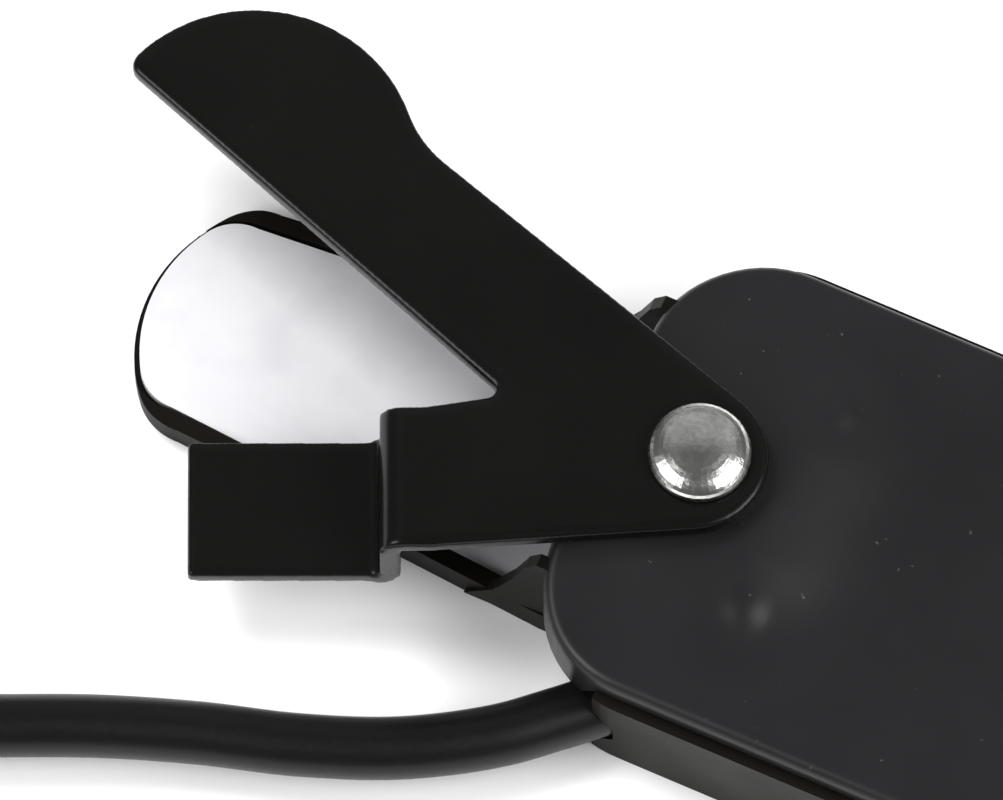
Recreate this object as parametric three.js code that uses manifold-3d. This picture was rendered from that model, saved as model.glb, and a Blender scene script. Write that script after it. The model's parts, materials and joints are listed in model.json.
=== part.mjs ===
// Hand opener with a pivoting thumb lever, a tongue plate and a coated guide rod.
// Millimetres, +Z up. The origin is where the lever's pivot axis meets the flat underside.
// +X runs along the hollow body towards its rear end, and the tongue points along -X.

import * as THREE from "three";
import { mergeVertices } from "three/addons/utils/BufferGeometryUtils.js";
import Module from "manifold-3d";

const wasm = await Module();
wasm.setup();

// ---- Driving dimensions ----
const gap = 0.2; // clearance between neighbouring pieces
const sheet = 1.2; // pressed sheet thickness of base and cover

const bodyFront = -8.3; // front edge of the cover
const bodyRear = 112; // rear end of the body
const baseSetback = 0.6; // the base starts this far behind the cover's front edge
const coverSetback = 0.9; // and the cover ends this far short of the base's rear
const coverHalfWidth = 19.5;
const baseHalfWidth = 20.35;
const frontCornerRadius = 9.6;
const rearCornerRadius = 15;
const baseWallTop = 10.4;
const coverTop = 13;
const lipBottom = baseWallTop + gap;
const frontWallTop = 7.2; // the base wall is lower round the front corners
const skirtBottom = frontWallTop + gap; // and the cover's lip is deeper there
const skirtRear = -0.8;

const tongueTipCentre = -35.6; // centre of the large arc of the tongue's tip
const tongueTipRadius = 13;
const tongueCornerRadius = 5;
const tongueRootHalfWidth = 12.85;
const tongueCornerHalfWidth = 10.2;
const tongueFlare = 0.06; // radians the corner arcs stop short of straight sides
const rimTop = 3.2;
const rimWidth = 1.5;
// The rims' top line along the tongue, as [x, z] from the tip backwards.
const rimLine = [[-47.5, sheet], [-43, rimTop - 0.8], [-36, rimTop - 0.2], [-20, rimTop]];

const plateThickness = 0.9;
const plateBottom = sheet + gap;
const plateTop = plateBottom + plateThickness;
const plateRear = 18;
const plateInnerHalfWidth = 8; // narrower inside the body
const plateInnerFront = -7; // from here on
const plateTipInset = 0.45; // clear of the tip's edge
const plateSideGap = 0.25; // between the plate and the rims
const plateRivetXs = { plate_rivet_front: 10, plate_rivet_rear: 15 };
const smallRivetRadius = 1.2;
const smallHeadRadius = 2.0;
const smallHeadHeight = 0.9;
const smallHeadChamfer = 0.5;
const footInset = 0.05; // rivets and posts end this far above the underside

const bossTop = 15; // raised tunnel over the tongue's root
const bossRear = 12;
const bossFrontHalfWidth = 14.2;
const bossRearHalfWidth = 9.2;
const bossMouthRadius = 0.4;
const bossRearRadius = 6;

const leverThickness = 1.7;
const washerThickness = 0.4;
const washerBottom = bossTop + gap;
const leverBottom = washerBottom + washerThickness + gap;
const leverTop = leverBottom + leverThickness;
const leverAngle = THREE.MathUtils.degToRad(24.3); // from the lever outline's frame to the body's
const tabDrop = 7.4;

const shankRadius = 2.4;
const runningGap = 0.1; // radial clearance of the bush on the rivet's shank
const bushWall = 0.7;
const headRadius = 4.18;
const headBottom = leverTop + gap;
const headHeight = 2.0;
const headRim = 0.35; // height of the head's straight edge
const tailRadius = 3.2;
const tailThickness = 1.1;
const rivetWasherRadius = 4.2;
const rivetWasherThickness = 0.6;
const spacerRadius = 4.4;
const leverWasherRadius = 5.4;
const bracketTop = 11.4;
const bracketBottom = 10.2;
const bracketFront = -5;
const bracketRear = 6;
const bracketLegOuter = 9.8;
const bracketFootOuter = 11.2;

const rodCoreRadius = 1.6;
const rodSleeveRadius = 2.55;
const rodHeight = 4.6; // centre of the rod above the underside
const rodInnerY = -11;
const rodCapWall = 0.9;
const rodCapLength = 8;
const clampFront = 26;
const clampRear = 34;
const clampRivetOffset = 5.9;
const clampWall = 0.9;
const clampReach = 7.4; // from the rod's centre to the flange's edge

const postRadius = 2.2;
const postPinRadius = 1.4;
const postHeadRadius = 3.2;
const postHeadHeight = 1.1;
const rearPostX = 90;
const rearPostY = 11.5;
const eyeletX = 101;
const eyeletHoleRadius = 3.2;
const eyeletFlange = 1.5;
const eyeletFlangeHeight = 0.8;

const clampMiddle = (clampFront + clampRear) / 2;
const rodNotchRear = -0.4; // the base is cut away in front of this, where the rod leaves
const earInner = 11.6;
const earOuter = 12.7;
const earTop = bossTop - sheet - gap;
// The ear's side view, as [x, z] points.
const earLine = [[-15, 0.6], [-6.5, 0.6], [-6.5, earTop], [-8.6, earTop], [-9.6, 12], [-10.8, 8], [-12.4, 4]];
const tailTop = bracketBottom - gap - rivetWasherThickness - gap;
const tailBottom = tailTop - tailThickness;
const joggleAt = -23.9;
const tabEnd = -41;
const tabTopEdge = 3.9;
const tabBottomEdge = -7.5;
const armEnd = -22; // the flat arm hands over to the stepped strip here
const armTopEdge = 4.2;
const armBottomEdge = -7.7;
const lobeCentre = new THREE.Vector2(-35.75, 25.2); // the thumb lobe
const lobeRadius = 13.2;
const pivotEndCentre = new THREE.Vector2(-0.7, -0.05); // the lever's round end
const pivotEndRadius = 6.25;
const filletRadius = 10; // between the lobe and the upper edge
const tipRadius = 1.2;
const upperSlope = THREE.MathUtils.degToRad(49.2); // direction square to the upper edge
const lowerSlope = THREE.MathUtils.degToRad(-86.4); // direction square to the bottom edge
const bladeSlope = THREE.MathUtils.degToRad(-43.3); // direction of the straight blade edge
const tipLift = 0.025; // radians the tip lies round the lobe from the diameter along the blade edge
// The inner end of the notch between the blade edge and the arm.
const notchStart = new THREE.Vector2(-16.5, 6.1);
const notchCorner = new THREE.Vector2(-15.9, 5.4);
const notchEnd = new THREE.Vector2(-16.8, 5.0);

// The guide rod's centre line, from its clamp inside the body out to its free end.
const rodLine = [
  [clampRear + 3, rodInnerY], [clampFront - 4, rodInnerY], [14, -11.6], [6, -14.0], [1.4, -16.8],
  [-3.0, -20.8], [-6.9, -24.2], [-13.5, -28.3], [-21, -31.4], [-28.8, -33.8], [-36.4, -36.6],
  [-43.8, -39.9], [-52.5, -43.9], [-62, -47.8],
];
const rodSteps = 56;

const round = 40; // segments round a small circle
const holeSegments = 20;
const far = 30; // cutting tools reach this far past the pieces

// ---- Geometry helpers ----

// A closed mesh with shared vertices, as manifold-3d wants it.
function toSolid(geometry) {
  const bare = geometry.index ? geometry.toNonIndexed() : geometry.clone();
  bare.deleteAttribute("normal");
  bare.deleteAttribute("uv");
  const merged = mergeVertices(bare, 1e-4);
  return new wasm.Manifold(new wasm.Mesh({
    numProp: 3,
    vertProperties: new Float32Array(merged.attributes.position.array),
    triVerts: new Uint32Array(merged.index.array),
  }));
}

function toGeometry(solid) {
  const mesh = solid.getMesh();
  const geometry = new THREE.BufferGeometry();
  geometry.setAttribute("position", new THREE.BufferAttribute(new Float32Array(mesh.vertProperties), 3));
  geometry.setIndex(new THREE.BufferAttribute(new Uint32Array(mesh.triVerts), 1));
  geometry.computeVertexNormals();
  return geometry;
}

function cut(geometry, ...tools) {
  const solid = tools.reduce((rest, tool) => rest.subtract(toSolid(tool)), toSolid(geometry));
  return toGeometry(solid);
}

function join(geometry, ...others) {
  const solid = others.reduce((sum, other) => sum.add(toSolid(other)), toSolid(geometry));
  return toGeometry(solid);
}

// An outline drawn from corners [x, y, radius], each rounded by an arc of its own radius.
function roundedOutline(corners) {
  const shape = new THREE.Shape();
  const count = corners.length;
  corners.forEach(([x, y, radius], index) => {
    const corner = new THREE.Vector2(x, y);
    const before = corners[(index + count - 1) % count];
    const after = corners[(index + 1) % count];
    const toBefore = new THREE.Vector2(before[0], before[1]).sub(corner).normalize();
    const toAfter = new THREE.Vector2(after[0], after[1]).sub(corner).normalize();
    const halfAngle = Math.acos(THREE.MathUtils.clamp(toBefore.dot(toAfter), -1, 1)) / 2;
    const setback = radius / Math.tan(halfAngle);
    const start = corner.clone().addScaledVector(toBefore, setback);
    const end = corner.clone().addScaledVector(toAfter, setback);
    const middle = toBefore.clone().add(toAfter).normalize();
    const centre = corner.clone().addScaledVector(middle, radius / Math.sin(halfAngle));
    const clockwise = toBefore.cross(toAfter) > 0;
    if (index === 0) shape.moveTo(start.x, start.y);
    else shape.lineTo(start.x, start.y);
    const from = Math.atan2(start.y - centre.y, start.x - centre.x);
    const to = Math.atan2(end.y - centre.y, end.x - centre.x);
    shape.absarc(centre.x, centre.y, radius, from, to, clockwise);
  });
  shape.closePath();
  return shape;
}

function slab(shape, bottom, top, curveSegments = 10) {
  const geometry = new THREE.ExtrudeGeometry(shape, {
    depth: top - bottom,
    bevelEnabled: false,
    curveSegments,
  });
  geometry.translate(0, 0, bottom);
  return geometry;
}

function box(x0, x1, y0, y1, z0, z1) {
  const geometry = new THREE.BoxGeometry(x1 - x0, y1 - y0, z1 - z0);
  geometry.translate((x0 + x1) / 2, (y0 + y1) / 2, (z0 + z1) / 2);
  return geometry;
}

function disc(x, y, radius, bottom, top, segments = round) {
  const geometry = new THREE.CylinderGeometry(radius, radius, top - bottom, segments);
  geometry.rotateX(Math.PI / 2);
  geometry.translate(x, y, (bottom + top) / 2);
  return geometry;
}

// A turned piece about a vertical axis from [radius, height] points.
function turned(points, segments = round) {
  const geometry = new THREE.LatheGeometry(points.map(([r, z]) => new THREE.Vector2(r, z)), segments);
  geometry.rotateX(Math.PI / 2);
  return geometry;
}

function ring(inner, outer, bottom, top, segments = round) {
  return turned([[inner, bottom], [outer, bottom], [outer, top], [inner, top], [inner, bottom]], segments);
}

// ---- Outlines ----

// The body's plan, inset all round by a distance.
function bodyOutline(halfWidth, front, rear, inset = 0) {
  const y = halfWidth - inset;
  const x0 = front + inset;
  const x1 = rear - inset;
  const frontRadius = frontCornerRadius - inset;
  const rearRadius = rearCornerRadius - inset;
  return roundedOutline([
    [x0, -y, frontRadius],
    [x1, -y, rearRadius],
    [x1, y, rearRadius],
    [x0, y, frontRadius],
  ]);
}

// The tongue's plan: straight flaring sides, small corner arcs and one large arc at the tip.
function tongueOutline(inset, tipInset, rear) {
  const tip = tongueTipRadius - tipInset;
  const corner = tongueCornerRadius - inset * 0.6;
  const reach = tip - corner; // the corner arcs lie inside the tip's circle and touch it
  const half = Math.asin((tongueCornerHalfWidth - inset - corner) / reach);
  const cornerX = tongueTipCentre - reach * Math.cos(half);
  const cornerY = reach * Math.sin(half);
  const side = tongueRootHalfWidth - inset;
  const shape = new THREE.Shape();
  shape.moveTo(rear, -side);
  shape.lineTo(rear, side);
  shape.lineTo(bodyFront, side);
  shape.absarc(cornerX, cornerY, corner, Math.PI / 2 - tongueFlare, Math.PI - half, false);
  shape.absarc(tongueTipCentre, 0, tip, Math.PI - half, Math.PI + half, false);
  shape.absarc(cornerX, -cornerY, corner, Math.PI + half, Math.PI * 1.5 + tongueFlare, false);
  shape.lineTo(bodyFront, -side);
  shape.closePath();
  return shape;
}

// The raised tunnel's plan, grown outwards by a distance.
function bossOutline(grow) {
  const front = bodyFront - baseSetback;
  return roundedOutline([
    [front, -bossFrontHalfWidth - grow, bossMouthRadius],
    [bossRear + grow, -bossRearHalfWidth - grow, bossRearRadius],
    [bossRear + grow, bossRearHalfWidth + grow, bossRearRadius],
    [front, bossFrontHalfWidth + grow, bossMouthRadius],
  ]);
}

// ---- Pieces ----

// The base's side walls and floor, open at the mouth and lower round the front corners.
function baseWalls() {
  const front = bodyFront + baseSetback;
  const outer = slab(bodyOutline(baseHalfWidth, front, bodyRear), 0, baseWallTop);
  const hollow = slab(bodyOutline(baseHalfWidth, front, bodyRear, sheet), sheet, far);
  const mouth = box(-far, 0, -earOuter, earOuter, sheet, far);
  const frontTop = box(-far, rodNotchRear, -far, far, frontWallTop, far);
  return cut(outer, hollow, mouth, frontTop);
}

function baseHoles() {
  const holes = Object.values(plateRivetXs).map((x) => smallHole(x, 0));
  for (const side of [-1, 1]) {
    holes.push(smallHole(clampMiddle, rodInnerY + side * clampRivetOffset));
    holes.push(disc(rearPostX, side * rearPostY, postPinRadius + gap, -1, sheet + 1, holeSegments));
  }
  holes.push(disc(eyeletX, 0, eyeletHoleRadius + sheet + gap, -1, sheet + 1));
  return holes;
}

// A hole for a small rivet through anything lying on the base.
function smallHole(x, y) {
  return disc(x, y, smallRivetRadius + gap, -1, 5, holeSegments);
}

function makeBaseShell() {
  const tongue = slab(tongueOutline(0, 0, 4), 0, rimTop);
  const solid = join(baseWalls(), tongue, makeEar(-1), makeEar(1));
  const trough = slab(tongueOutline(rimWidth, 0, 6), sheet, far);
  const earTrough = box(-9, 6, -earInner, earInner, sheet, far);
  const inside = box(-6.4, 6, -14, 14, sheet, rimTop + 0.1);
  const rodNotch = box(-far, rodNotchRear, -far, -earOuter - 0.6, -1, far);
  const rodHole = alongRod(circle(rodSleeveRadius + 2 * gap), rodPath(), rodSteps);
  return cut(solid, trough, earTrough, inside, rimSlope(), rodNotch, rodHole, ...baseHoles());
}

// Cuts the rims down towards the tip, where they run out.
function rimSlope() {
  const rear = rimLine[rimLine.length - 1][0];
  const profile = outline([[-60, sheet], ...rimLine, [rear, far], [-60, far]]);
  return acrossY(profile, -far, far);
}

// A straight-sided outline through points.
function outline(points) {
  return new THREE.Shape(points.map(([x, y]) => new THREE.Vector2(x, y)));
}

// Extrudes an outline drawn in x and z along y.
function acrossY(profile, y0, y1, curveSegments = 8) {
  const geometry = new THREE.ExtrudeGeometry(profile, {
    depth: y1 - y0,
    bevelEnabled: false,
    curveSegments,
  });
  geometry.rotateX(Math.PI / 2);
  geometry.translate(0, y1, 0);
  return geometry;
}

// The wall of the tray that rises to the cover at the tunnel's mouth.
function makeEar(side) {
  const y0 = side > 0 ? earInner : -earOuter;
  return acrossY(outline(earLine), y0, y0 + earOuter - earInner);
}

function makeTonguePlate() {
  const plate = slab(tongueOutline(rimWidth + plateSideGap, plateTipInset, plateRear), plateBottom, plateTop);
  const flanks = [
    box(plateInnerFront, far, plateInnerHalfWidth, far, 0, 5),
    box(plateInnerFront, far, -far, -plateInnerHalfWidth, 0, 5),
  ];
  return cut(plate, ...flanks, ...Object.values(plateRivetXs).map((x) => smallHole(x, 0)));
}

// A small rivet with its foot flush in the underside and a flat head above a height.
function makeFlushRivet(x, y, headSeat) {
  const headTop = headSeat + gap + smallHeadHeight;
  const geometry = turned([
    [0, footInset],
    [smallRivetRadius, footInset],
    [smallRivetRadius, headSeat + gap],
    [smallHeadRadius, headSeat + gap],
    [smallHeadRadius, headTop - smallHeadChamfer],
    [smallHeadRadius - smallHeadChamfer, headTop],
    [0, headTop],
  ], holeSegments);
  geometry.translate(x, y, 0);
  return geometry;
}

// The cover's plan raised between two heights.
function coverSlab(bottom, top, inset = 0) {
  return slab(bodyOutline(coverHalfWidth, bodyFront, bodyRear - coverSetback, inset), bottom, top);
}

function makeTopCover() {
  const skirt = cut(coverSlab(skirtBottom, lipBottom + 1), box(skirtRear, bodyRear, -far, far, 0, far));
  const pan = cut(join(coverSlab(lipBottom, coverTop), skirt), coverSlab(0, coverTop - sheet, sheet));
  const shell = join(pan, slab(bossOutline(0), coverTop - sheet, bossTop));
  const tunnel = slab(bossOutline(-sheet), 0, bossTop - sheet);
  const mouthHalfWidth = bossFrontHalfWidth - sheet;
  const mouth = box(-12, 0, -mouthHalfWidth, mouthHalfWidth, 0, bossTop - sheet);
  const pivotHole = disc(0, 0, shankRadius + gap, 0, far);
  const eyeletHole = disc(eyeletX, 0, eyeletHoleRadius + sheet + gap, 0, far);
  const postHoles = [-1, 1].map((side) => disc(rearPostX, side * rearPostY, postPinRadius + gap, 0, far,
    holeSegments));
  return cut(shell, tunnel, mouth, pivotHole, eyeletHole, ...postHoles);
}

// A domed head, a shank and a tail closed over the inner washer.
function makePivotRivet() {
  const dome = [];
  const steps = 10;
  for (let step = 1; step <= steps; step += 1) {
    const turn = (step / steps) * Math.PI / 2;
    const radius = step === steps ? 0 : headRadius * Math.cos(turn);
    dome.push([radius, headBottom + headRim + (headHeight - headRim) * Math.sin(turn)]);
  }
  return turned([
    [0, tailBottom],
    [tailRadius, tailBottom],
    [tailRadius, tailTop],
    [shankRadius, tailTop],
    [shankRadius, headBottom],
    [headRadius, headBottom],
    [headRadius, headBottom + headRim],
    ...dome,
  ]);
}

// An inverted channel across the plate that takes the pivot's load down to the base.
function makePivotBracket() {
  const bottom = sheet + gap;
  const bridge = box(bracketFront, bracketRear, -bracketLegOuter, bracketLegOuter, bracketBottom, bracketTop);
  const parts = [];
  for (const side of [-1, 1]) {
    const legInner = side * (bracketLegOuter - sheet);
    const legOuter = side * bracketLegOuter;
    const footOuter = side * bracketFootOuter;
    parts.push(box(bracketFront, bracketRear, Math.min(legInner, legOuter), Math.max(legInner, legOuter),
      bottom, bracketTop));
    parts.push(box(bracketFront, bracketRear, Math.min(legInner, footOuter), Math.max(legInner, footOuter),
      bottom, bottom + sheet));
  }
  return cut(join(bridge, ...parts), disc(0, 0, shankRadius + gap, 0, 20));
}

// The lever's plan in its own frame: u to the right, v upwards, pivot at the origin.
function leverOutline() {
  // The fillet touches the upper edge and the lobe's circle.
  const square = new THREE.Vector2(Math.cos(upperSlope), Math.sin(upperSlope));
  const along = new THREE.Vector2(-square.y, square.x);
  const toLobe = lobeCentre.clone().sub(pivotEndCentre);
  const across = toLobe.dot(square) - pivotEndRadius - filletRadius;
  const run = toLobe.dot(along) - Math.sqrt((lobeRadius + filletRadius) ** 2 - across ** 2);
  const filletCentre = pivotEndCentre.clone()
    .addScaledVector(square, pivotEndRadius + filletRadius)
    .addScaledVector(along, run);
  const lobeStart = Math.atan2(filletCentre.y - lobeCentre.y, filletCentre.x - lobeCentre.x);

  // The tip's small circle lies inside the lobe's, on the blade edge.
  const tipStart = bladeSlope + Math.PI - tipLift;
  const towardsTip = new THREE.Vector2(Math.cos(tipStart), Math.sin(tipStart));
  const tipCentre = lobeCentre.clone().addScaledVector(towardsTip, lobeRadius - tipRadius);
  const tipEnd = bladeSlope + 1.5 * Math.PI;

  const shape = new THREE.Shape();
  shape.absarc(pivotEndCentre.x, pivotEndCentre.y, pivotEndRadius, lowerSlope, upperSlope, false);
  shape.absarc(filletCentre.x, filletCentre.y, filletRadius, upperSlope + Math.PI, lobeStart + Math.PI, true);
  shape.absarc(lobeCentre.x, lobeCentre.y, lobeRadius, lobeStart, tipStart, false);
  shape.absarc(tipCentre.x, tipCentre.y, tipRadius, tipStart, tipEnd, false);
  shape.lineTo(notchStart.x, notchStart.y);
  shape.quadraticCurveTo(notchCorner.x, notchCorner.y, notchEnd.x, notchEnd.y);
  shape.lineTo(armEnd, armTopEdge);
  shape.lineTo(armEnd, armBottomEdge);
  shape.closePath();
  return shape;
}

// The strip that steps down from the arm to the hook tab, seen from the side.
function joggleStrip() {
  const web = joggleAt - leverThickness;
  const overlap = armEnd + 1;
  const outerBend = 2.1;
  const innerBend = 0.5;
  const profile = roundedOutline([
    [overlap, leverBottom, 0.1],
    [overlap, leverTop, 0.1],
    [web, leverTop, outerBend],
    [web, leverTop - tabDrop, innerBend],
    [tabEnd, leverTop - tabDrop, 0.3],
    [tabEnd, leverBottom - tabDrop, 0.3],
    [joggleAt, leverBottom - tabDrop, outerBend],
    [joggleAt, leverBottom, innerBend],
  ]);
  const tabRoot = web - innerBend;
  return cut(acrossY(profile, armBottomEdge, armTopEdge),
    box(-60, tabRoot, tabTopEdge, far, 0, far),
    box(-60, tabRoot, -far, tabBottomEdge, 0, far));
}

function makeThumbLever() {
  const arm = slab(leverOutline(), leverBottom, leverTop, 14);
  const hole = disc(0, 0, shankRadius + runningGap + bushWall + gap, 0, far);
  const whole = cut(join(arm, joggleStrip()), hole);
  whole.rotateZ(leverAngle);
  return whole;
}

// The sleeve in the lever's hole that turns on the rivet.
function makePivotBush() {
  const bore = shankRadius + runningGap;
  return ring(bore, bore + bushWall, leverBottom, leverTop);
}

function rodPath() {
  return new THREE.CatmullRomCurve3(rodLine.map(([x, y]) => new THREE.Vector3(x, y, rodHeight)));
}

function alongRod(shape, path, steps) {
  return new THREE.ExtrudeGeometry(shape, {
    extrudePath: path,
    steps,
    curveSegments: 5,
    bevelEnabled: false,
  });
}

function circle(radius) {
  const shape = new THREE.Shape();
  shape.absarc(0, 0, radius, 0, Math.PI * 2, false);
  return shape;
}

function makeRodSleeve() {
  const shape = circle(rodSleeveRadius);
  const hole = new THREE.Path();
  hole.absarc(0, 0, rodCoreRadius + gap, 0, Math.PI * 2, true);
  shape.holes.push(hole);
  return alongRod(shape, rodPath(), rodSteps);
}

function makeRodCore() {
  return alongRod(circle(rodCoreRadius), rodPath(), 40);
}

// A round-ended cup over the rod's free end.
function makeRodEndCap() {
  const end = rodPath().getPoint(1);
  const direction = rodPath().getTangent(1);
  const inner = rodSleeveRadius + gap;
  const outer = inner + rodCapWall;
  const points = [[0, gap], [inner, gap], [inner, -rodCapLength], [outer, -rodCapLength], [outer, 0]];
  const steps = 6;
  for (let step = 1; step <= steps; step += 1) {
    const turn = (step / steps) * Math.PI / 2;
    points.push([step === steps ? 0 : outer * Math.cos(turn), outer * Math.sin(turn)]);
  }
  const geometry = new THREE.LatheGeometry(points.map(([r, z]) => new THREE.Vector2(r, z)), 24);
  geometry.scale(-1, 1, 1);
  geometry.index.array.reverse();
  geometry.applyQuaternion(new THREE.Quaternion().setFromUnitVectors(new THREE.Vector3(0, 1, 0), direction));
  geometry.translate(end.x, end.y, end.z);
  return geometry;
}

// A saddle over the rod with a flange on each side.
function makeRodClamp() {
  const bottom = sheet + gap;
  const hole = rodSleeveRadius + gap;
  const hump = box(clampFront, clampRear, rodInnerY - hole - clampWall, rodInnerY + hole + clampWall,
    bottom, rodHeight + hole + sheet);
  const flange = box(clampFront, clampRear, rodInnerY - clampReach, rodInnerY + clampReach,
    bottom, bottom + sheet);
  const bore = disc(0, 0, hole, clampFront - 1, clampRear + 1, 24);
  bore.rotateY(Math.PI / 2);
  bore.translate(0, rodInnerY, rodHeight);
  const slot = box(clampFront - 1, clampRear + 1, rodInnerY - hole, rodInnerY + hole, 0, rodHeight);
  const rivets = [-1, 1].map((side) => smallHole(clampMiddle, rodInnerY + side * clampRivetOffset));
  return cut(join(hump, flange), bore, slot, ...rivets);
}

// A spacer post with a flush lower end and a low pan head on the cover.
function makeRearPost(side) {
  const headSeat = coverTop + gap;
  const geometry = turned([
    [0, footInset],
    [postPinRadius, footInset],
    [postPinRadius, sheet + gap],
    [postRadius, sheet + gap],
    [postRadius, coverTop - sheet - gap],
    [postPinRadius, coverTop - sheet - gap],
    [postPinRadius, headSeat],
    [postHeadRadius, headSeat],
    [postHeadRadius, headSeat + 0.4],
    [postHeadRadius - 0.9, headSeat + postHeadHeight],
    [0, headSeat + postHeadHeight + 0.2],
  ], 28);
  geometry.translate(rearPostX, side * rearPostY, 0);
  return geometry;
}

// A rolled tube through both shells with a flange on the cover.
function makeHangEyelet() {
  const outer = eyeletHoleRadius + sheet;
  const flangeSeat = coverTop + gap;
  const geometry = turned([
    [eyeletHoleRadius, footInset],
    [outer, footInset],
    [outer, flangeSeat],
    [outer + eyeletFlange, flangeSeat],
    [outer + eyeletFlange - 0.2, flangeSeat + eyeletFlangeHeight - 0.1],
    [outer - 0.2, flangeSeat + eyeletFlangeHeight + 0.2],
    [eyeletHoleRadius, flangeSeat + 0.3],
    [eyeletHoleRadius, footInset],
  ], 36);
  geometry.translate(eyeletX, 0, 0);
  return geometry;
}

// ---- Assembly ----

const finishes = {
  cover: { color: 0x2a2a2c, roughness: 0.45, metalness: 0.1 },
  base: { color: 0x262422, roughness: 0.5, metalness: 0.1 },
  lever: { color: 0x1b1b1a, roughness: 0.32, metalness: 0.1 },
  plate: { color: 0xdcdce0, roughness: 0.28, metalness: 0.95 },
  zinc: { color: 0xc2c4c6, roughness: 0.25, metalness: 1.0 },
  steel: { color: 0x9a9a98, roughness: 0.4, metalness: 1.0 },
  brass: { color: 0xb09a5a, roughness: 0.4, metalness: 1.0 },
  coating: { color: 0x171717, roughness: 0.5, metalness: 0.0 },
};

const opener = new THREE.Group();

function place(name, geometry, finish, parent = opener) {
  const mesh = new THREE.Mesh(geometry, new THREE.MeshStandardMaterial(finishes[finish]));
  mesh.name = name;
  parent.add(mesh);
  return mesh;
}

place("base_shell", makeBaseShell(), "base");
place("tongue_plate", makeTonguePlate(), "plate");
for (const [name, x] of Object.entries(plateRivetXs)) {
  place(name, makeFlushRivet(x, 0, plateTop), "steel");
}
place("top_cover", makeTopCover(), "cover");

const stackHole = shankRadius + gap;
place("pivot_bracket", makePivotBracket(), "steel");
place("rivet_washer", ring(stackHole, rivetWasherRadius, tailTop + gap, bracketBottom - gap), "steel");
place("pivot_spacer", ring(stackHole, spacerRadius, bracketTop + gap, bossTop - sheet - gap), "steel");
place("lever_washer", ring(stackHole, leverWasherRadius, washerBottom, leverBottom - gap), "steel");
place("pivot_rivet", makePivotRivet(), "zinc");

const lever = new THREE.Group();
opener.add(lever);
place("thumb_lever", makeThumbLever(), "lever", lever);
place("pivot_bush", makePivotBush(), "brass", lever);

place("rod_core", makeRodCore(), "steel");
place("rod_sleeve", makeRodSleeve(), "coating");
place("rod_end_cap", makeRodEndCap(), "coating");
place("rod_clamp", makeRodClamp(), "steel");
for (const [name, side] of [["clamp_rivet_left", 1], ["clamp_rivet_right", -1]]) {
  place(name, makeFlushRivet(clampMiddle, rodInnerY + side * clampRivetOffset, sheet + gap + sheet), "steel");
}

for (const [name, side] of [["rear_post_left", 1], ["rear_post_right", -1]]) {
  place(name, makeRearPost(side), "zinc");
}
place("hang_eyelet", makeHangEyelet(), "zinc");

export default opener;
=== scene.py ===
"""A pressed-steel hand opener: fine surfaces, finishes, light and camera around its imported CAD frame."""

import json
import math

import bmesh
import bpy
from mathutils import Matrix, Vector


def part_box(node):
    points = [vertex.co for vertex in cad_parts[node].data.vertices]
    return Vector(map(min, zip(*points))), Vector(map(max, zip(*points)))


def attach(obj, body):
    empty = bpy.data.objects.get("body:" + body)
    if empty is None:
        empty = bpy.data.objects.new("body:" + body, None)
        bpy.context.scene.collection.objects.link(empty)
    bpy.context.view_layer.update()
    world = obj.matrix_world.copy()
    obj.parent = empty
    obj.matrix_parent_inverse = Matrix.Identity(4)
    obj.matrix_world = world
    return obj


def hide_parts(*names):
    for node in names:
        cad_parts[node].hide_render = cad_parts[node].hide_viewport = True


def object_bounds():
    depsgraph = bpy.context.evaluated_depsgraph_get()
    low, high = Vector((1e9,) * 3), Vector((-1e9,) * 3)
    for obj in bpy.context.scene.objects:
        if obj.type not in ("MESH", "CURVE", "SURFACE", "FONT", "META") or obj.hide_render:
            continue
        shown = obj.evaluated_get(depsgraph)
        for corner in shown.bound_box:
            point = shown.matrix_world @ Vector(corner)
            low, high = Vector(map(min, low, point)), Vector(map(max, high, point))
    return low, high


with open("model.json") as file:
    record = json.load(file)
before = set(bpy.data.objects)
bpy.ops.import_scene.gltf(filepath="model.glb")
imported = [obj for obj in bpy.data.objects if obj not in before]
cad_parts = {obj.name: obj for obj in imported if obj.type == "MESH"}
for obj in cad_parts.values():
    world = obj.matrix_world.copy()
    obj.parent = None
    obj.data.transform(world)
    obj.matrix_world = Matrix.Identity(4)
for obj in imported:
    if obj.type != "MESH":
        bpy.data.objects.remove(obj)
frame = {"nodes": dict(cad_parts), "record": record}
cad_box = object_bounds()

MM = 0.001
LEVER_JOINT = frame["record"]["behaviour"]["joints"][0]
PIVOT = Vector(LEVER_JOINT["pos_m"])


# ---- Material helpers ----

def new_material(name):
    """An empty node material with its Principled shader and output joined."""
    material = bpy.data.materials.new(name)
    material.use_nodes = True
    tree = material.node_tree
    tree.nodes.clear()
    shader = tree.nodes.new("ShaderNodeBsdfPrincipled")
    output = tree.nodes.new("ShaderNodeOutputMaterial")
    tree.links.new(shader.outputs["BSDF"], output.inputs["Surface"])
    return material, tree, shader


def object_coordinates(tree, scale=(1, 1, 1)):
    """The object's own coordinates in metres, multiplied by a scale along each axis."""
    coordinates = tree.nodes.new("ShaderNodeTexCoord")
    mapping = tree.nodes.new("ShaderNodeMapping")
    mapping.inputs["Scale"].default_value = scale
    tree.links.new(coordinates.outputs["Object"], mapping.inputs["Vector"])
    return mapping.outputs["Vector"]


def noise(tree, vector, scale, detail=4, roughness=0.55):
    """A noise value; scale counts its coarsest features over one unit of the vector."""
    node = tree.nodes.new("ShaderNodeTexNoise")
    node.inputs["Scale"].default_value = scale
    node.inputs["Detail"].default_value = detail
    node.inputs["Roughness"].default_value = roughness
    tree.links.new(vector, node.inputs["Vector"])
    return node.outputs["Fac"]


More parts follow.
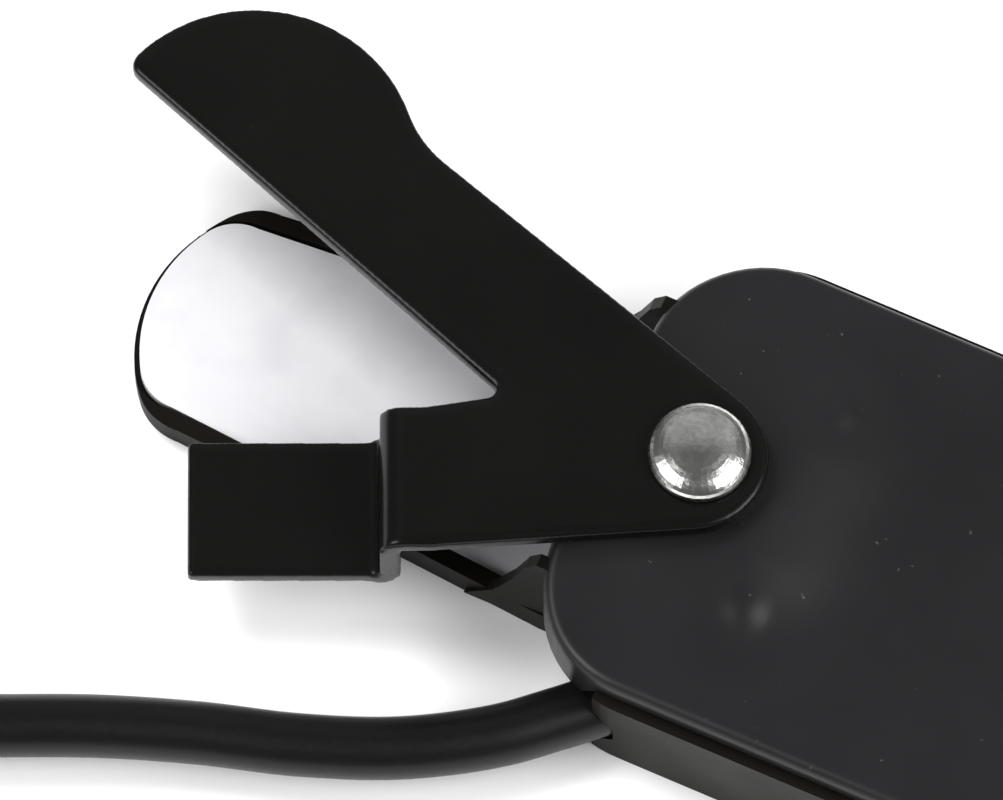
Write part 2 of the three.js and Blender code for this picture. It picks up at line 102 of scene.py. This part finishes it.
def ramp(tree, value, stops):
    """Turns a value into grey or colour by (position, colour) stops."""
    node = tree.nodes.new("ShaderNodeValToRGB")
    elements = node.color_ramp.elements
    while len(elements) < len(stops):
        elements.new(0.5)
    for element, (position, colour) in zip(elements, stops):
        element.position = position
        element.color = (*colour, 1) if isinstance(colour, tuple) else (colour, colour, colour, 1)
    tree.links.new(value, node.inputs["Fac"])
    return node.outputs["Color"]


def mix_colours(tree, first, second, factor):
    """Mixes two colours; each of them, and the factor, is a node's output or a fixed value."""
    node = tree.nodes.new("ShaderNodeMix")
    node.data_type = "RGBA"
    for socket, value in (("Factor", factor), ("A", first), ("B", second)):
        if isinstance(value, bpy.types.NodeSocket):
            tree.links.new(value, node.inputs[socket])
        else:
            node.inputs[socket].default_value = value
    return node.outputs["Result"]


def bump(tree, shader, *layers):
    """Stacks (height, strength, distance in metres) layers on the shader's normal."""
    normal = None
    for height, strength, distance in layers:
        node = tree.nodes.new("ShaderNodeBump")
        node.inputs["Strength"].default_value = strength
        node.inputs["Distance"].default_value = distance
        tree.links.new(height, node.inputs["Height"])
        if normal is not None:
            tree.links.new(normal, node.inputs["Normal"])
        normal = node.outputs["Normal"]
    tree.links.new(normal, shader.inputs["Normal"])


# ---- Materials ----

SPECK_COLOUR = (0.06, 0.06, 0.06, 1)
SPECK_FADE = 0.05
SPECK_COVER = 0.8


def black_paint(name, dark, light, rough_low, rough_high, specular, speck_level):
    """Black enamel on pressed steel: faint cloudiness, orange peel and a few pale dust specks.

    A speck shows where its noise rises above speck_level.
    """
    material, tree, shader = new_material(name)
    vector = object_coordinates(tree)
    cloud = noise(tree, vector, scale=60)
    base = ramp(tree, cloud, [(0.3, dark), (0.75, light)])
    speck_noise = noise(tree, vector, scale=1500, detail=1)
    speck_mask = ramp(tree, speck_noise, [(speck_level, 0.0), (speck_level + SPECK_FADE, SPECK_COVER)])
    tree.links.new(mix_colours(tree, base, SPECK_COLOUR, speck_mask), shader.inputs["Base Color"])
    smear = noise(tree, vector, scale=140, detail=6)
    tree.links.new(ramp(tree, smear, [(0.3, rough_low), (0.7, rough_high)]), shader.inputs["Roughness"])
    shader.inputs["Specular IOR Level"].default_value = specular
    peel = noise(tree, vector, scale=900, detail=2)
    wave = noise(tree, vector, scale=90, detail=1)
    bump(tree, shader, (wave, 0.12, 0.0004), (peel, 0.1, 0.00008))
    return material


def satin_steel(name, low, high, metallic, grain_scale, roughness=0.34, spread=0.03):
    """Bright satin steel: soft clouds of tone and a very fine grain.

    The grain runs along the axis whose grain_scale is the smallest.
    """
    material, tree, shader = new_material(name)
    cloud = noise(tree, object_coordinates(tree), scale=110, detail=3)
    patch = noise(tree, object_coordinates(tree), scale=45, detail=2)
    cloud_tone = ramp(tree, cloud, [(0.35, low), (0.55, high)])
    patch_tone = ramp(tree, patch, [(0.35, low), (0.5, high)])
    tree.links.new(mix_colours(tree, cloud_tone, patch_tone, 0.5), shader.inputs["Base Color"])
    shader.inputs["Metallic"].default_value = metallic
    grain = noise(tree, object_coordinates(tree, grain_scale), scale=1, detail=3)
    grain_tone = ramp(tree, grain, [(0.3, roughness - spread), (0.7, roughness + spread)])
    tree.links.new(grain_tone, shader.inputs["Roughness"])
    bump(tree, shader, (grain, 0.02, 0.00001))
    return material


def plated_metal(name, colour, shade, roughness, scuff_scale, scuff_strength, added_roughness=0.18):
    """Bright metal with handling scuffs that are rougher than the rest."""
    material, tree, shader = new_material(name)
    vector = object_coordinates(tree)
    scuffs = noise(tree, vector, scuff_scale, detail=8, roughness=0.7)
    tree.links.new(ramp(tree, scuffs, [(0.35, colour), (0.7, shade)]), shader.inputs["Base Color"])
    shader.inputs["Metallic"].default_value = 1.0
    scuff_tone = ramp(tree, scuffs, [(0.4, roughness), (0.75, roughness + added_roughness)])
    tree.links.new(scuff_tone, shader.inputs["Roughness"])
    bump(tree, shader, (scuffs, scuff_strength, 0.00005))
    return material


def coated_plastic(name):
    """Satin black plastic coating with a fine grain."""
    material, tree, shader = new_material(name)
    vector = object_coordinates(tree)
    cloud = noise(tree, vector, scale=120)
    tree.links.new(ramp(tree, cloud, [(0.3, 0.0025), (0.75, 0.004)]), shader.inputs["Base Color"])
    grain = noise(tree, vector, scale=2600, detail=3)
    tree.links.new(ramp(tree, grain, [(0.3, 0.36), (0.7, 0.44)]), shader.inputs["Roughness"])
    shader.inputs["Specular IOR Level"].default_value = 0.3
    bump(tree, shader, (grain, 0.08, 0.00005))
    return material


COVER_PAINT = black_paint(
    "cover_paint", dark=(0.0092, 0.0092, 0.0101), light=(0.0125, 0.0125, 0.0137),
    rough_low=0.36, rough_high=0.42, specular=0.3, speck_level=0.77,
)
# The base's black enamel has a slight brown tint of its own. It is also painted darker than the cover's
# enamel: painted shade standing in for the shade on the base walls under the cover's lip.
SHADE_DARKENED_BASE_PAINT = black_paint(
    "shade_darkened_base_paint", dark=(0.0042, 0.0037, 0.0029), light=(0.0078, 0.0069, 0.0054),
    rough_low=0.42, rough_high=0.52, specular=0.1, speck_level=0.78,
)
LEVER_PAINT = black_paint(
    "lever_paint", dark=(0.0030, 0.0030, 0.0028), light=(0.0044, 0.0044, 0.0041),
    rough_low=0.24, rough_high=0.3, specular=0.22, speck_level=0.82,
)
PLATE_STEEL = satin_steel(
    "plate_steel", low=(0.66, 0.66, 0.69), high=(0.81, 0.81, 0.835),
    metallic=0.22, grain_scale=(300, 2500, 2500),
)
RIVET_METAL = plated_metal(
    "rivet_metal", colour=(0.86, 0.87, 0.84), shade=(0.5, 0.5, 0.49),
    roughness=0.17, scuff_scale=1100, scuff_strength=0.55,
)
PLAIN_STEEL = satin_steel(
    "plain_steel", low=(0.42, 0.42, 0.42), high=(0.55, 0.55, 0.54),
    metallic=1.0, grain_scale=(2500, 300, 2500),
)
BUSH_BRASS = plated_metal(
    "bush_brass", colour=(0.65, 0.48, 0.2), shade=(0.5, 0.36, 0.15),
    roughness=0.25, scuff_scale=700, scuff_strength=0.1,
)
ROD_COATING = coated_plastic("rod_coating")


# ---- CAD nodes shown with their own mesh: finish and softened edges ----

# A fine piece, made further down, stands for each of these nodes.
REPLACED = {"top_cover", "rod_sleeve", "thumb_lever"}

# Nodes that are in neither list are plain steel.
NODE_MATERIALS = {
    "base_shell": SHADE_DARKENED_BASE_PAINT,
    "pivot_bracket": SHADE_DARKENED_BASE_PAINT,
    "tongue_plate": PLATE_STEEL,
    "pivot_rivet": RIVET_METAL,
    "hang_eyelet": RIVET_METAL,
    "rear_post_left": RIVET_METAL,
    "rear_post_right": RIVET_METAL,
    "pivot_bush": BUSH_BRASS,
    "rod_end_cap": ROD_COATING,
}

EDGE_WIDTH = 0.15 * MM
EDGE_SEGMENTS = 3
EDGE_ANGLE = math.radians(32)


def soften(node_object):
    """Smooth shading with a small bevel on the sharp edges."""
    for polygon in node_object.data.polygons:
        polygon.use_smooth = True
    edge = node_object.modifiers.new("soft_edges", "BEVEL")
    edge.width = EDGE_WIDTH
    edge.segments = EDGE_SEGMENTS
    edge.limit_method = "ANGLE"
    edge.angle_limit = EDGE_ANGLE
    edge.harden_normals = False
    shade = node_object.modifiers.new("even_normals", "WEIGHTED_NORMAL")
    shade.keep_sharp = True


for node_name, node_object in frame["nodes"].items():
    if node_name in REPLACED:
        continue
    node_object.data.materials.clear()
    node_object.data.materials.append(NODE_MATERIALS.get(node_name, PLAIN_STEEL))
    soften(node_object)


# ---- Helpers for the fine pieces ----

def add_piece(name, data, body, slot, material, *nodes):
    """Links a mesh piece, rides it on its body and lets it stand for its CAD nodes."""
    piece = bpy.data.objects.new(name, data)
    bpy.context.scene.collection.objects.link(piece)
    data.materials.clear()
    data.materials.append(material)
    for polygon in data.polygons:
        polygon.use_smooth = True
    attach(piece, body)
    if nodes:
        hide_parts(*nodes)
    return piece


def consistent(data):
    """Turns every face outwards."""
    mesh = bmesh.new()
    mesh.from_mesh(data)
    bmesh.ops.recalc_face_normals(mesh, faces=mesh.faces)
    mesh.to_mesh(data)
    mesh.free()
    return data


def smoothstep(value, low, high):
    """0 up to low, 1 from high on and a soft rise between them."""
    share = min(max((value - low) / (high - low), 0.0), 1.0)
    return share * share * (3 - 2 * share)


def stations(start, end, step):
    """Evenly spaced values from start up to but not including end."""
    count = max(1, round((end - start) / step))
    return [start + (end - start) * index / count for index in range(count)]


# ---- The cover's pressed sheet ----

# A pressed pan is a top face with a bent rim and a turned-down lip. Lengths are in millimetres.
# The lip's inner wall ends PAN_INNER_DROP below the underside of the face.
PAN_CORNER_STEPS = 14
PAN_BEND_STEPS = 6
PAN_EDGE_ROUNDING = 0.18
PAN_INNER_DROP = 0.3


def pan_rows(front, rear, half, front_radius, rear_radius, fine_until, fine, coarse):
    """Rows (x, half width, normal angle) across a rounded rectangle, closer together at the front."""
    rows = []
    for step in range(PAN_CORNER_STEPS):
        turn = math.pi / 2 * step / PAN_CORNER_STEPS
        rows.append((front + front_radius * (1 - math.cos(turn)),
                     half - front_radius * (1 - math.sin(turn)), turn))
    front_stations = stations(front + front_radius, fine_until, fine)
    rear_stations = stations(fine_until, rear - rear_radius, coarse)
    for x in front_stations + rear_stations:
        rows.append((x, half, math.pi / 2))
    for step in range(PAN_CORNER_STEPS + 1):
        turn = math.pi / 2 * (1 + step / PAN_CORNER_STEPS)
        rows.append((rear - rear_radius * (1 + math.cos(turn)),
                     half - rear_radius * (1 - math.sin(turn)), turn))
    return rows


def pan_grid(rows, columns, top, drop):
    """Points on the face, row by row, lowered by a drop."""
    points = []
    for x, half, _ in rows:
        for column in range(columns + 1):
            y = half * (2 * column / columns - 1)
            points.append((x, y, top(x, y) - drop))
    return points


def pan_border(rows, columns, first):
    """Point numbers and outward normals round a grid's edge, counter-clockwise from above."""
    width = columns + 1
    last = len(rows) - 1
    ring = []
    for column in range(columns, 0, -1):
        ring.append((first + column, (-1.0, 0.0)))
    for row in range(0, last):
        turn = rows[row][2]
        ring.append((first + row * width, (-math.cos(turn), -math.sin(turn))))
    for column in range(0, columns):
        ring.append((first + last * width + column, (1.0, 0.0)))
    for row in range(last, 0, -1):
        turn = rows[row][2]
        ring.append((first + row * width + columns, (-math.cos(turn), math.sin(turn))))
    return ring


def lip_profile(bend, thickness):
    """The rim's section from the face's edge round the lip and back up inside it.

    Each step is (distance outwards, what its height is counted from, amount). A height counts down from
    the top face's edge or up from the lip's low edge.
    """
    profile = []
    for step in range(1, PAN_BEND_STEPS + 1):
        turn = math.pi / 2 * step / PAN_BEND_STEPS
        profile.append((bend * math.sin(turn), "top", bend * (1 - math.cos(turn))))
    profile.append((bend, "low", PAN_EDGE_ROUNDING))
    profile.append((bend - PAN_EDGE_ROUNDING, "low", 0.0))
    profile.append((bend - thickness + PAN_EDGE_ROUNDING, "low", 0.0))
    profile.append((bend - thickness, "low", PAN_EDGE_ROUNDING))
    profile.append((bend - thickness, "top", thickness + PAN_INNER_DROP))
    return profile


def pressed_pan(rows, columns, bend, thickness, top, low):
    """A pressed sheet: a top face of rows, a bent rim and a turned-down lip, as one closed mesh.

    top(x, y) gives the face's height and low(x, y) the lip's lower edge, both in millimetres.
    """
    points = pan_grid(rows, columns, top, 0)
    inner_first = len(points)
    points += pan_grid(rows, columns, top, thickness)
    faces = []
    width = columns + 1
    for row in range(len(rows) - 1):
        for column in range(columns):
            near = row * width + column
            far = near + width
            faces.append((near, far, far + 1, near + 1))
            near += inner_first
            far += inner_first
            faces.append((near, near + 1, far + 1, far))

    edge = pan_border(rows, columns, 0)
    rings = [[number for number, _ in edge]]
    for offset, origin, amount in lip_profile(bend, thickness):
        ring = []
        for number, (normal_x, normal_y) in edge:
            x, y, z = points[number]
            height = z - amount if origin == "top" else low(x, y) + amount
            ring.append(len(points))
            points.append((x + normal_x * offset, y + normal_y * offset, height))
        rings.append(ring)
    rings.append([number for number, _ in pan_border(rows, columns, inner_first)])
    count = len(edge)
    for upper, lower in zip(rings, rings[1:]):
        for index in range(count):
            after = (index + 1) % count
            faces.append((upper[index], lower[index], lower[after], upper[after]))

    data = bpy.data.meshes.new("pan")
    data.from_pydata([(x * MM, y * MM, z * MM) for x, y, z in points], [], faces)
    data.validate()
    return data


# The cover, in millimetres.
SHEET = 0.8
BEND = 0.95
FRONT_CORNER = 9.6
REAR_CORNER = 15
ACROSS_COLUMNS = 84
FINE_UNTIL = 20
FINE_STEP = 0.5
COARSE_STEP = 3

# The lip's lower edge rises from the skirt at the front to LIP_BOTTOM between these two places.
LIP_BOTTOM = 10.6
LIP_RISE_START = -1.2
LIP_RISE_END = -0.2

# The raised tunnel over the tongue narrows towards its rear, but not past BOSS_TAPER_END times its
# length. BOSS_SHOULDER_INSIDE is the share of its soft shoulder that lies inside its outline.
BOSS_REAR = 12.0
BOSS_CORNER = 6.0
BOSS_FRONT_HALF = 13.4
BOSS_REAR_HALF = 9.8
BOSS_TAPER_END = 1.2
BOSS_SHOULDER = 12.0
BOSS_SHOULDER_INSIDE = 0.6
BOSS_HEIGHT = 2.0

# The front lip is cut away over the tongue, and the cut's sides fade out and in.
MOUTH_HALF = 13.0
MOUTH_OVERHANG = 0.6
MOUTH_FADE_OUT = 0.5
MOUTH_FADE_IN = 0.4

# Two low round pips stand near the tunnel's rear corners.
PIP_X = 8.2
PIP_Y = 9.4
PIP_RADIUS = 2.4
PIP_HEIGHT = 0.34

HANG_HOLE_RADIUS = 4.6 * MM


def boss_share(x, y, front):
    """1 on the raised tunnel, 0 outside it, with a soft shoulder between."""
    run = (x - front) / (BOSS_REAR - front)
    half = BOSS_FRONT_HALF + (BOSS_REAR_HALF - BOSS_FRONT_HALF) * min(run, BOSS_TAPER_END)
    along = x - BOSS_REAR + BOSS_CORNER
    across = abs(y) - half + BOSS_CORNER
    outside = math.hypot(max(along, 0), max(across, 0)) + min(max(along, across), 0) - BOSS_CORNER
    inner_end = -BOSS_SHOULDER * BOSS_SHOULDER_INSIDE
    outer_end = BOSS_SHOULDER * (1 - BOSS_SHOULDER_INSIDE)
    return 1 - smoothstep(outside, inner_end, outer_end)


def make_cover():
    """The cover's sheet with its tunnel, pips, bent rim and lip, cut away at the front for the tongue."""
    low_corner, high_corner = (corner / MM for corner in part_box("top_cover"))
    face = high_corner.z - BOSS_HEIGHT
    skirt = low_corner.z
    rows = pan_rows(
        low_corner.x + MOUTH_OVERHANG + BEND, high_corner.x - BEND, high_corner.y - BEND,
        FRONT_CORNER - BEND, REAR_CORNER - BEND, FINE_UNTIL, FINE_STEP, COARSE_STEP,
    )

    def top(x, y):
        pip = 1 - smoothstep(math.hypot(x - PIP_X, abs(y) - PIP_Y), 0, PIP_RADIUS)
        return min(face + BOSS_HEIGHT * boss_share(x, y, low_corner.x) + PIP_HEIGHT * pip, high_corner.z)

    def low(x, y):
        lip = skirt + (LIP_BOTTOM - skirt) * smoothstep(x, LIP_RISE_START, LIP_RISE_END)
        if x > 0:
            return lip
        raised = top(x, y) - BEND
        return lip + (raised - lip) * smoothstep(MOUTH_HALF - abs(y), -MOUTH_FADE_OUT, MOUTH_FADE_IN)

    data = consistent(pressed_pan(rows, ACROSS_COLUMNS, BEND, SHEET, top, low))
    return add_piece("cover_pressing", data, "frame", "cover_black", COVER_PAINT, "top_cover")


def cut_round_hole(piece, x, y, radius, depth=0.05, segments=64):
    """Cuts a vertical round hole through a piece and keeps the result as its mesh."""
    mesh = bmesh.new()
    bmesh.ops.create_cone(
        mesh, cap_ends=True, segments=segments, radius1=radius, radius2=radius, depth=depth)
    data = bpy.data.meshes.new("cutter")
    mesh.to_mesh(data)
    mesh.free()
    cutter = bpy.data.objects.new("cutter", data)
    cutter.location = (x, y, 0)
    bpy.context.scene.collection.objects.link(cutter)
    cut = piece.modifiers.new("hole", "BOOLEAN")
    cut.object = cutter
    cut.solver = "EXACT"
    bpy.context.view_layer.update()
    depsgraph = bpy.context.evaluated_depsgraph_get()
    result = bpy.data.meshes.new_from_object(piece.evaluated_get(depsgraph))
    piece.modifiers.remove(cut)
    piece.data = result
    bpy.data.objects.remove(cutter)


# ---- The rod's coating ----

# In millimetres. The centre line has the same points as the CAD rod's.
ROD_RADIUS = 2.55
ROD_BORE_RADIUS = 1.8
ROD_HEIGHT = 4.6
ROD_SIDES = 40
ROD_STEPS_PER_SPAN = 10
ROD_POINTS = [
    (37, -11), (22, -11), (14, -11.6), (6, -14.0), (1.4, -16.8), (-3.0, -20.8), (-6.9, -24.2),
    (-13.5, -28.3), (-21, -31.4), (-28.8, -33.8), (-36.4, -36.6), (-43.8, -39.9), (-52.5, -43.9),
    (-62, -47.8),
]


def between(first, last, low, high, value):
    """The point that is first at low and last at high, at a value between them."""
    return first * ((high - value) / (high - low)) + last * ((value - low) / (high - low))


def centripetal(points, per_span):
    """A smooth curve through the points, the Catmull-Rom curve that the CAD rod follows."""
    vectors = [Vector(point) for point in points]
    vectors = [vectors[0] * 2 - vectors[1]] + vectors + [vectors[-1] * 2 - vectors[-2]]
    curve = []
    for before, start, end, after in zip(vectors, vectors[1:], vectors[2:], vectors[3:]):
        start_time = (start - before).length ** 0.5
        end_time = start_time + (end - start).length ** 0.5
        after_time = end_time + (after - end).length ** 0.5
        for step in range(per_span):
            time = start_time + (end_time - start_time) * step / per_span
            first = between(before, start, 0, start_time, time)
            middle = between(start, end, start_time, end_time, time)
            last = between(end, after, end_time, after_time, time)
            early = between(first, middle, 0, end_time, time)
            late = between(middle, last, start_time, after_time, time)
            curve.append(between(early, late, start_time, end_time, time))
    curve.append(vectors[-2])
    return curve


def make_rod_sleeve():
    """The coated rod: a smooth tube with a bore for its core."""
    path = centripetal([(x, y, ROD_HEIGHT) for x, y in ROD_POINTS], ROD_STEPS_PER_SPAN)
    up = Vector((0, 0, 1))
    points = []
    for index, centre in enumerate(path):
        ahead = path[min(index + 1, len(path) - 1)]
        behind = path[max(index - 1, 0)]
        forward = (ahead - behind).normalized()
        side = forward.cross(up).normalized()
        for radius in (ROD_RADIUS, ROD_BORE_RADIUS):
            for spoke in range(ROD_SIDES):
                turn = 2 * math.pi * spoke / ROD_SIDES
                points.append(centre + (side * math.cos(turn) + up * math.sin(turn)) * radius)

    # Every station has a ring of outer points and then a ring of bore points.
    ring = 2 * ROD_SIDES
    spokes = [(spoke, (spoke + 1) % ROD_SIDES) for spoke in range(ROD_SIDES)]
    faces = []
    for index in range(len(path) - 1):
        near = index * ring
        far = near + ring
        near_bore = near + ROD_SIDES
        far_bore = far + ROD_SIDES
        for spoke, after in spokes:
            faces.append((near + spoke, near + after, far + after, far + spoke))
            faces.append((near_bore + after, near_bore + spoke, far_bore + spoke, far_bore + after))
    for outer in (0, (len(path) - 1) * ring):
        bore = outer + ROD_SIDES
        for spoke, after in spokes:
            faces.append((outer + spoke, bore + spoke, bore + after, outer + after))
    data = bpy.data.meshes.new("rod_sleeve_fine")
    data.from_pydata([point * MM for point in points], [], faces)
    return add_piece("rod_coating", consistent(data), "frame", "rod_coating", ROD_COATING, "rod_sleeve")


# ---- The lever ----

def make_lever(voxel=0.24 * MM, strength=0.5, passes=9):
    """The lever with its edges rounded, as thick enamel leaves them: remeshed, then smoothed."""
    source = frame["nodes"]["thumb_lever"]
    data = source.data.copy()
    data.transform(source.matrix_world)
    worked = bpy.data.objects.new("lever_work", data)
    bpy.context.scene.collection.objects.link(worked)
    remesh = worked.modifiers.new("remesh", "REMESH")
    remesh.mode = "VOXEL"
    remesh.voxel_size = voxel
    relax = worked.modifiers.new("relax", "SMOOTH")
    relax.factor = strength
    relax.iterations = passes
    bpy.context.view_layer.update()
    depsgraph = bpy.context.evaluated_depsgraph_get()
    result = bpy.data.meshes.new_from_object(worked.evaluated_get(depsgraph))
    bpy.data.objects.remove(worked)
    return add_piece("lever_blank", result, "lever", "lever_black", LEVER_PAINT, "thumb_lever")


cover = make_cover()
make_lever()
eyelet_low, eyelet_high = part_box("hang_eyelet")
cut_round_hole(cover, (eyelet_low.x + eyelet_high.x) / 2, 0, HANG_HOLE_RADIUS)
make_rod_sleeve()


# ---- Camera ----

# The picture's middle is AIM, given from the pivot. Lengths are in metres, the sensor's width in mm.
VIEW_AZIMUTH = math.radians(24.3)
VIEW_ELEVATION = math.radians(69)
VIEW_DISTANCE = 2.5
VIEW_WIDTH = 80.24 * MM
SENSOR_WIDTH = 36
AIM = PIVOT + Vector((-16.43, -2.10, 0.3)) * MM


def make_camera():
    """A long lens that looks at AIM from the view's azimuth and elevation."""
    data = bpy.data.cameras.new("camera")
    data.sensor_width = SENSOR_WIDTH
    data.lens = SENSOR_WIDTH * VIEW_DISTANCE / VIEW_WIDTH
    data.clip_start = 0.01
    data.clip_end = 20
    camera = bpy.data.objects.new("camera", data)
    back = Vector((
        math.sin(VIEW_AZIMUTH) * math.cos(VIEW_ELEVATION),
        -math.cos(VIEW_AZIMUTH) * math.cos(VIEW_ELEVATION),
        math.sin(VIEW_ELEVATION),
    ))
    camera.location = AIM + back * VIEW_DISTANCE
    camera.rotation_mode = "QUATERNION"
    camera.rotation_quaternion = (-back).to_track_quat("-Z", "Y")
    bpy.context.scene.collection.objects.link(camera)
    bpy.context.scene.camera = camera


# ---- Floor and light ----

# In metres.
FLOOR_HALF = 2.0
FLOOR_CELLS = 8
FLOOR_GAP = 0.00005

SKY_STRENGTH = 0.1


def make_floor():
    """A wide white floor just under the object."""
    mesh = bmesh.new()
    bmesh.ops.create_grid(mesh, x_segments=FLOOR_CELLS, y_segments=FLOOR_CELLS, size=FLOOR_HALF)
    data = bpy.data.meshes.new("floor")
    mesh.to_mesh(data)
    mesh.free()
    floor = bpy.data.objects.new("floor", data)
    floor.location.z = cad_box[0].z - FLOOR_GAP
    bpy.context.scene.collection.objects.link(floor)
    material, tree, shader = new_material("floor_white")
    tone = noise(tree, object_coordinates(tree), scale=3)
    tree.links.new(ramp(tree, tone, [(0.3, 0.90), (0.7, 0.92)]), shader.inputs["Base Color"])
    shader.inputs["Roughness"].default_value = 0.9
    floor.data.materials.append(material)


def in_view_frame(right, away, height):
    """A point given along the camera's right, away from the viewer over the floor, and up."""
    cosine = math.cos(VIEW_AZIMUTH)
    sine = math.sin(VIEW_AZIMUTH)
    return Vector((cosine * right - sine * away, sine * right + cosine * away, height))


def area_light(name, right, away, height, size, watts):
    """A rectangular light, placed in the view's directions and aimed at the pivot."""
    data = bpy.data.lights.new(name, "AREA")
    data.shape = "RECTANGLE"
    data.size, data.size_y = size
    data.energy = watts
    light = bpy.data.objects.new(name, data)
    position = in_view_frame(right, away, height)
    light.location = position
    light.rotation_mode = "QUATERNION"
    light.rotation_quaternion = (PIVOT - position).to_track_quat("-Z", "Y")
    bpy.context.scene.collection.objects.link(light)
    return light


def make_lights():
    """Two side boxes, a wide panel at the back, a key light and a faint white sky."""
    area_light("left_box", right=-0.64, away=-0.28, height=0.62, size=(0.44, 0.5), watts=5)
    area_light("right_box", right=0.62, away=-0.28, height=0.62, size=(0.56, 0.6), watts=7)
    area_light("back_panel", right=0.05, away=0.85, height=0.8, size=(1.8, 1.1), watts=1.9)
    key = area_light("key", right=-0.42, away=0.34, height=1.15, size=(0.5, 0.5), watts=13)
    # The key light makes shadows but no highlight of its own.
    key.visible_glossy = False
    world = bpy.data.worlds.new("studio")
    world.use_nodes = True
    background = world.node_tree.nodes["Background"]
    background.inputs["Color"].default_value = (1, 1, 1, 1)
    background.inputs["Strength"].default_value = SKY_STRENGTH
    bpy.context.scene.world = world
    bpy.context.scene.view_settings.view_transform = "Standard"


make_camera()
make_floor()
make_lights()
